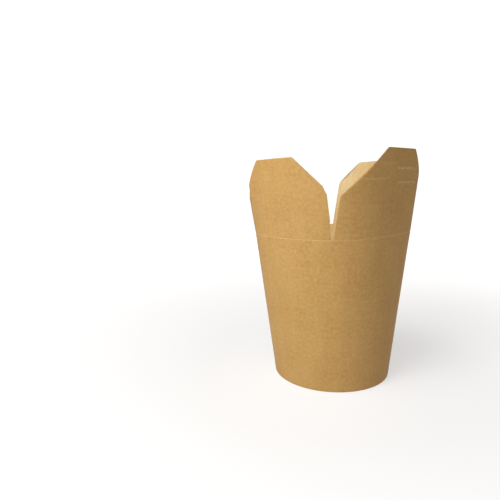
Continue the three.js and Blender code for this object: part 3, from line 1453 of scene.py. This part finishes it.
@dataclass
class Bottom:
    """The disc set into the foot: lined side up, its rim turned down into the hem as a skirt."""

    shape: CupShape
    columns: int = 240
    middle_radius: float = 2.0
    ring_gap: float = 2.5
    row_gap: float = 2.0
    skirt_bottom: float = 1.0
    bend_radius: float = 0.9
    bend_steps: int = 5
    inner_bend: float = 0.4
    dish: float = 0.35
    dish_share: float = 0.9

    def _dip(self, radius: float, edge: float) -> float:
        """How far the disc dips at a radius, most in its middle and nothing near its edge."""
        return self.dish * (1 - smooth_step(radius / (edge * self.dish_share)))

    def _profile(self) -> list[tuple[float, float, Side]]:
        """Draw the section out over the top, down the skirt and back in underneath.

        Returns:
            Radius, height and the side of the stretch that follows, for each corner.
        """
        shape = self.shape
        front = shape.board + shape.hem_gap
        under = shape.hem_height + shape.hem_gap
        top = under + shape.board
        edge = shape.cone(top) - front
        bend = self.bend_radius
        profile = [(radius, top - self._dip(radius, edge), Side.INSIDE)
                   for radius in steps(self.middle_radius, edge - bend, self.ring_gap)]
        for turn in [math.pi / 2 * k / self.bend_steps for k in range(1, self.bend_steps)]:
            radius = edge - bend * (1 - math.sin(turn))
            profile.append((radius, top - bend * (1 - math.cos(turn)), Side.INSIDE))
        falling = steps(top - bend, self.skirt_bottom + NEARLY, self.row_gap)
        profile += [(shape.cone(z) - front, z, Side.OUTSIDE) for z in falling]
        profile += [(shape.cone(self.skirt_bottom) - front, self.skirt_bottom, Side.EDGE)]
        back = front + shape.board
        rising = steps(self.skirt_bottom, under - self.inner_bend, self.row_gap)
        profile += [(shape.cone(z) - back, z, Side.OUTSIDE) for z in rising]
        inner_edge = shape.cone(under) - back - self.inner_bend
        profile += [(radius, under - self._dip(radius, edge), Side.OUTSIDE)
                    for radius in steps(inner_edge, self.middle_radius, self.ring_gap)]
        return profile

    def _mesh(self, finishes: Finishes) -> bpy.types.Mesh:
        """Turn the section round the axis and close its middle above and below.

        Args:
            finishes: Materials of the board.

        Returns:
            The closed mesh.
        """
        profile = self._profile()
        rows = len(profile)
        points, faces, kinds = [], [], []
        for i in range(self.columns):
            angle = 2 * math.pi * i / self.columns
            points += [(r * math.sin(angle) * MM, -r * math.cos(angle) * MM, z * MM) for r, z, _ in profile]
        top_middle = len(points)
        points += [(0, 0, profile[0][1] * MM), (0, 0, profile[-1][1] * MM)]
        for i in range(self.columns):
            here, there = i * rows, ((i + 1) % self.columns) * rows
            faces.append((top_middle, here, there))
            kinds.append(Side.INSIDE)
            faces.append((top_middle + 1, there + rows - 1, here + rows - 1))
            kinds.append(Side.OUTSIDE)
            for j in range(rows - 1):
                faces.append((here + j, here + j + 1, there + j + 1, there + j))
                kinds.append(profile[j][2])
        mesh = bpy.data.meshes.new("bottom_disc")
        mesh.from_pydata(points, [], faces)
        mark_sheet(mesh, np.array(points, np.float32) / MM)
        for material in finishes.by_side().values():
            mesh.materials.append(material)
        mesh.polygons.foreach_set("material_index", [kind.value for kind in kinds])
        return mesh

    def build(self, finishes: Finishes) -> bpy.types.Object:
        """Make the disc.

        Args:
            finishes: Materials of the board.

        Returns:
            The finished piece.
        """
        disc = smoothed(placed("bottom_disc", self._mesh(finishes)))
        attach(disc, "cup")
        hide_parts("bottom")
        return disc


@dataclass
class HeelKnurls:
    """Small upright ribs pressed into the inner face of the hem, which grip the disc's skirt."""

    shape: CupShape
    count: int = 150
    rib_radius: float = 0.35
    rib_height: float = 5.6
    stand_out: float = 0.18

    def _tree(self, finish: bpy.types.Material) -> bpy.types.NodeTree:
        """Build the tree that sets the ribs round the hem.

        Args:
            finish: Material of the ribs.

        Returns:
            The tree, with the count and sizes as named inputs.
        """
        tree = bpy.data.node_groups.new("Knurls round the heel", "GeometryNodeTree")
        face = tree.interface
        face.new_socket("Geometry", in_out="INPUT", socket_type="NodeSocketGeometry")
        face.new_socket("Count", in_out="INPUT", socket_type="NodeSocketInt")
        for name in ("Ring radius", "Rib radius", "Rib height", "Middle height", "Lean"):
            face.new_socket(name, in_out="INPUT", socket_type="NodeSocketFloat")
        face.new_socket("Geometry", in_out="OUTPUT", socket_type="NodeSocketGeometry")
        size = add(tree, "NodeGroupInput").outputs
        ring = add(tree, "GeometryNodeMeshCircle", {"Vertices": size["Count"], "Radius": size["Ring radius"]})
        rib = add(tree, "GeometryNodeMeshIcoSphere", {"Radius": size["Rib radius"], "Subdivisions": 2})
        stretch = add(tree, "ShaderNodeMath", {0: size["Rib height"], 1: size["Rib radius"]},
                      operation="DIVIDE")
        half = add(tree, "ShaderNodeMath", {0: stretch.outputs[0], 1: 0.5}, operation="MULTIPLY")
        scale = add(tree, "ShaderNodeCombineXYZ", {"X": 1.0, "Y": 1.0, "Z": half.outputs[0]})
        place = add(tree, "GeometryNodeInputPosition")
        parts = add(tree, "ShaderNodeSeparateXYZ", {0: place.outputs[0]})
        turn = add(tree, "ShaderNodeMath", {0: parts.outputs["Y"], 1: parts.outputs["X"]},
                   operation="ARCTAN2")
        lean = add(tree, "ShaderNodeCombineXYZ", {"Y": size["Lean"], "Z": turn.outputs[0]})
        rotation = add(tree, "FunctionNodeEulerToRotation", {0: lean.outputs[0]})
        ribs = add(tree, "GeometryNodeInstanceOnPoints",
                   {"Points": ring.outputs["Mesh"], "Instance": rib.outputs["Mesh"],
                    "Rotation": rotation.outputs[0], "Scale": scale.outputs[0]})
        lift = add(tree, "ShaderNodeCombineXYZ", {"Z": size["Middle height"]})
        raised = add(tree, "GeometryNodeTranslateInstances",
                     {"Instances": ribs.outputs["Instances"], "Translation": lift.outputs[0],
                      "Local Space": False})
        real = add(tree, "GeometryNodeRealizeInstances", {"Geometry": raised.outputs["Instances"]})
        in_mm = add(tree, "ShaderNodeVectorMath", {0: place.outputs[0], "Scale": 1 / MM},
                    operation="SCALE")
        marked = add(tree, "GeometryNodeStoreNamedAttribute",
                     {"Geometry": real.outputs["Geometry"], "Name": "sheet", "Value": in_mm.outputs[0]},
                     data_type="FLOAT_VECTOR", domain="POINT")
        done = add(tree, "GeometryNodeSetMaterial",
                   {"Geometry": marked.outputs["Geometry"], "Material": finish})
        add(tree, "NodeGroupOutput", {"Geometry": done.outputs["Geometry"]})
        return tree

    def build(self, finishes: Finishes) -> bpy.types.Object:
        """Make the ribs.

        Args:
            finishes: Materials of the board.

        Returns:
            The finished piece.
        """
        shape = self.shape
        middle = shape.hem_height / 2
        hem_back = 3 * shape.board + 2 * shape.hem_gap
        ring = shape.cone(middle) - hem_back + self.rib_radius - self.stand_out
        slope = math.atan((shape.mean_radius - shape.foot_radius) / shape.crease_height)
        sizes = {"Count": self.count, "Ring radius": ring * MM, "Rib radius": self.rib_radius * MM,
                 "Rib height": self.rib_height * MM, "Middle height": middle * MM, "Lean": slope}
        start = bpy.data.meshes.new("heel_knurls_plan")
        ribs = grown(self._tree(finishes.outside), "heel_knurls", start, sizes)
        ribs.data.shade_smooth()
        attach(ribs, "cup")
        return ribs


@dataclass
class NoodleBox:
    """The whole box: wall, bottom, heel and four flaps."""

    shape: CupShape = CupShape()
    slotted_edge_by_left: Corners = ((0.0, 0.8), (26.9, 4.3), (47.5, 28.3), (55.6, 39.0))
    slotted_edge_by_right: Corners = ((0.0, 0.8), (27.5, 4.3), (47.5, 27.9), (55.6, 37.1))
    slotted_lean: float = 1.0
    tongue_edge: Corners = ((0.0, 0.8), (24.5, 4.1), (40.5, 21.6))
    side_edge_by_slotted: Corners = ((0.0, 0.8), (27.5, 3.4), (33.2, 6.0), (50.8, 26.2))
    side_edge_by_tongue: Corners = ((0.0, 1.4), (33.9, 6.5), (50.3, 23.6))
    slit_rows: tuple[tuple[tuple[float, float, float], ...], ...] = (
        ((-21.5, -6.0, 46.4), (-4.2, 20.0, 43.3), (22.5, 31.5, 39.6)),
        ((-32.6, -9.8, 37.0), (-1.6, 23.2, 34.4), (27.0, 37.5, 30.6)),
    )
    slit_paleness: tuple[tuple[float, ...], ...] = ((0.4, 0.9, 0.6), (0.42, 1.0, 0.8))
    hook: Point = (1.5, -1.2)

    def _slit(self, start: float, end: float, height: float, paleness: float) -> Slit:
        """One lock slit on the flat sheet, its right end turned down so that it doesn't tear on.

        Args:
            start: Its left end in millimetres from the flap's middle.
            end: Its right end.
            height: Its height above the crease.
            paleness: How clearly its torn fibres show.

        Returns:
            The slit.
        """
        scale = self.shape.mean_radius / self.shape.radius(0.0, self.shape.crease_height + height)
        turn = end - self.hook[0]
        path = ((start * scale, height), (turn * scale, height), (end * scale, height + self.hook[1]))
        return Slit(path, paleness)

    def flaps(self) -> list[Flap]:
        """Describe the four flaps.

        Returns:
            The flaps in the order slotted, tongue, left, right.
        """
        shape = self.shape
        wide = shape.wide_half_angle
        narrow = math.pi / 2 - wide
        slits = [self._slit(*slit, paleness) for row, tones in zip(self.slit_rows, self.slit_paleness)
                 for slit, paleness in zip(row, tones)]
        slotted = Flap(shape, "slotted_flap", "flap_slotted", "slotted", 0.0, wide,
                       self.slotted_edge_by_left, self.slotted_edge_by_right, slits=slits,
                       lean=self.slotted_lean)
        tongue = TongueFlap(shape, "tongue_flap", "flap_tongue", "tongue", math.pi, wide,
                            self.tongue_edge, self.tongue_edge)
        left = Flap(shape, "left_flap", "flap_side_left", "side_left", -math.pi / 2, narrow,
                    self.side_edge_by_tongue, self.side_edge_by_slotted)
        right = Flap(shape, "right_flap", "flap_side_right", "side_right", math.pi / 2, narrow,
                     self.side_edge_by_slotted, self.side_edge_by_tongue)
        return [slotted, tongue, left, right]

    def build(self) -> list[bpy.types.Object]:
        """Make every piece of the box.

        Returns:
            The finished pieces.
        """
        finishes = Finishes.build()
        bender = BendTree(finishes)
        pieces = [Wall(self.shape).build(bender), Bottom(self.shape).build(finishes),
                  HeelKnurls(self.shape).build(finishes)]
        pieces += [flap.build(bender) for flap in self.flaps()]
        return pieces


@dataclass(frozen=True)
class PhotoCamera:
    """The photo's camera: a plain lens from slightly above the rim, at the slit between two flaps.

    Its distance from the box's axis and its height are in millimetres. The focal length and the width of
    the frame are in pixels of the photo's frame.
    """

    side_angle: float = math.radians(-52.57)
    distance: float = 330.5
    height: float = 143.7
    pan: float = math.radians(-10.52)
    pitch: float = math.radians(8.96)
    roll: float = math.radians(-1.14)
    focal_px: float = 445.1
    frame_px: float = 500.0
    sensor: float = 36.0

    def build(self) -> bpy.types.Object:
        """Make the camera and look through it.

        Returns:
            The camera object.
        """
        data = bpy.data.cameras.new("photo_camera")
        data.sensor_width = self.sensor
        data.lens = self.focal_px * self.sensor / self.frame_px
        data.clip_start = 0.01
        data.clip_end = 20.0
        heading = self.side_angle
        place = Vector((math.sin(heading), -math.cos(heading), 0.0)) * self.distance
        look = heading - self.pan
        level = Vector((-math.sin(look), math.cos(look), 0.0))
        forward = level * math.cos(self.pitch) - Vector((0.0, 0.0, math.sin(self.pitch)))
        level_right = forward.cross(Vector((0.0, 0.0, 1.0))).normalized()
        level_up = level_right.cross(forward)
        right = level_right * math.cos(self.roll) + level_up * math.sin(self.roll)
        up = level_up * math.cos(self.roll) - level_right * math.sin(self.roll)
        turn = Matrix((right, up, -forward)).transposed().to_4x4()
        camera = placed("photo_camera", data)
        camera.matrix_world = Matrix.Translation((place + Vector((0.0, 0.0, self.height))) * MM) @ turn
        bpy.context.scene.camera = camera
        return camera


@dataclass
class Studio:
    """A pale light-table floor that fades into a white backdrop, a soft box at the left and a high light.

    Distances are in metres from the box. The floor glows from below, brighter further out, so that only a
    faint shadow stays on it. The backdrop is bright for the camera and dim as a light.
    """

    floor_tone: str = "#959594"
    floor_roughness: float = 0.9
    floor_glow: tuple[float, float] = (0.64, 0.94)
    glow_reach: tuple[float, float] = (0.1, 0.5)
    floor_reach: float = 3.0
    fade_start: float = 0.5
    fade_end: float = 2.2
    backdrop_brightness: float = 1.05
    ambient_tint: str = "#FFB27A"
    ambient_brightness: float = 0.075
    light_heading: float = -88.0
    high_strength: float = 1.4
    high_softness: float = 30.0
    high_elevation: float = 68.0
    soft_box_power: float = 2.52
    soft_box_width: float = 0.3
    soft_box_distance: float = 0.6
    soft_box_elevation: float = 38.0

    def _floor_paint(self) -> bpy.types.Material:
        """Make the matt floor, lit from below, which fades into the backdrop away from the box.

        Returns:
            The material.
        """
        constants = {"Base Color": linear(self.floor_tone), "Roughness": self.floor_roughness,
                     "Emission Color": WHITE}
        material, tree, shader = new_material("studio floor, matt light table", constants)
        place = add(tree, "ShaderNodeTexCoord")
        distance = add(tree, "ShaderNodeVectorMath", {0: place.outputs["Object"]}, operation="LENGTH")
        glow = add(tree, "ShaderNodeMapRange",
                   {"Value": distance.outputs["Value"],
                    "From Min": self.glow_reach[0], "From Max": self.glow_reach[1],
                    "To Min": self.floor_glow[0], "To Max": self.floor_glow[1]})
        tree.links.new(glow.outputs["Result"], shader.inputs["Emission Strength"])
        fade = add(tree, "ShaderNodeMapRange",
                   {"Value": distance.outputs["Value"],
                    "From Min": self.fade_start, "From Max": self.fade_end},
                   interpolation_type="SMOOTHSTEP")
        clear = add(tree, "ShaderNodeBsdfTransparent")
        faded = add(tree, "ShaderNodeMixShader",
                    {0: fade.outputs["Result"], 1: shader.outputs[0], 2: clear.outputs[0]})
        tree.links.new(faded.outputs[0], tree.nodes["Material Output"].inputs["Surface"])
        return material

    def _floor(self) -> None:
        """Lay the pale floor."""
        mesh = bpy.data.meshes.new("studio_floor")
        reach = self.floor_reach
        corners = [(-reach, -reach, 0), (reach, -reach, 0), (reach, reach, 0), (-reach, reach, 0)]
        mesh.from_pydata(corners, [], [(0, 1, 2, 3)])
        mesh.materials.append(self._floor_paint())
        floor = placed("studio_floor", mesh)

    def _world(self) -> None:
        """Set a bright backdrop for the picture and a dimmer, even light for the box."""
        world = bpy.data.worlds.new("studio_world")
        world.use_nodes = True
        tree = world.node_tree
        light = tree.nodes["Background"]
        light.inputs["Strength"].default_value = self.ambient_brightness
        backdrop = add(tree, "ShaderNodeBackground", {"Strength": self.backdrop_brightness})
        light.inputs["Color"].default_value = linear(self.ambient_tint)
        backdrop.inputs["Color"].default_value = WHITE
        ray = add(tree, "ShaderNodeLightPath")
        both = add(tree, "ShaderNodeMixShader",
                   {0: ray.outputs["Is Camera Ray"], 1: light.outputs[0], 2: backdrop.outputs[0]})
        tree.links.new(both.outputs[0], tree.nodes["World Output"].inputs["Surface"])
        bpy.context.scene.world = world

    def _towards(self, elevation: float) -> Vector:
        """Give the way from the box to a light.

        Args:
            elevation: Height of the light over the floor in degrees.

        Returns:
            The way as a vector of length 1.
        """
        heading = math.radians(self.light_heading)
        rise = math.radians(elevation)
        level = math.cos(rise)
        return Vector((math.sin(heading) * level, -math.cos(heading) * level, math.sin(rise)))

    def _high_light(self) -> None:
        """Let soft light in from high at the left, which reaches over the flaps to the lining."""
        data = bpy.data.lights.new("high_light", "SUN")
        data.energy = self.high_strength
        data.angle = math.radians(self.high_softness)
        light = placed("high_light", data)
        light.rotation_euler = self._towards(self.high_elevation).to_track_quat("Z", "Y").to_euler()

    def _soft_box(self) -> None:
        """Stand a round soft box at the left, near enough that its light falls off towards the foot."""
        data = bpy.data.lights.new("soft_box", "AREA")
        data.shape = "DISK"
        data.size = self.soft_box_width
        data.energy = self.soft_box_power
        light = placed("soft_box", data)
        towards = self._towards(self.soft_box_elevation)
        aim = (Vector(CAD_BOX[0]) + Vector(CAD_BOX[1])) / 2
        light.location = aim + towards * self.soft_box_distance
        light.rotation_euler = towards.to_track_quat("Z", "Y").to_euler()

    def build(self) -> None:
        """Set the floor, the world and the lights."""
        self._floor()
        self._world()
        self._high_light()
        self._soft_box()
        bpy.context.scene.view_settings.view_transform = "Standard"


def main() -> None:
    """Build the box, the studio and the camera, in that order, and report each piece."""
    logging.basicConfig(level=logging.INFO, format="%(name)s: %(message)s")
    for piece in NoodleBox().build():
        LOG.info("%s has %d faces", piece.name, len(piece.data.polygons))
    Studio().build()
    PhotoCamera().build()


if __name__ == "__main__":
    main()
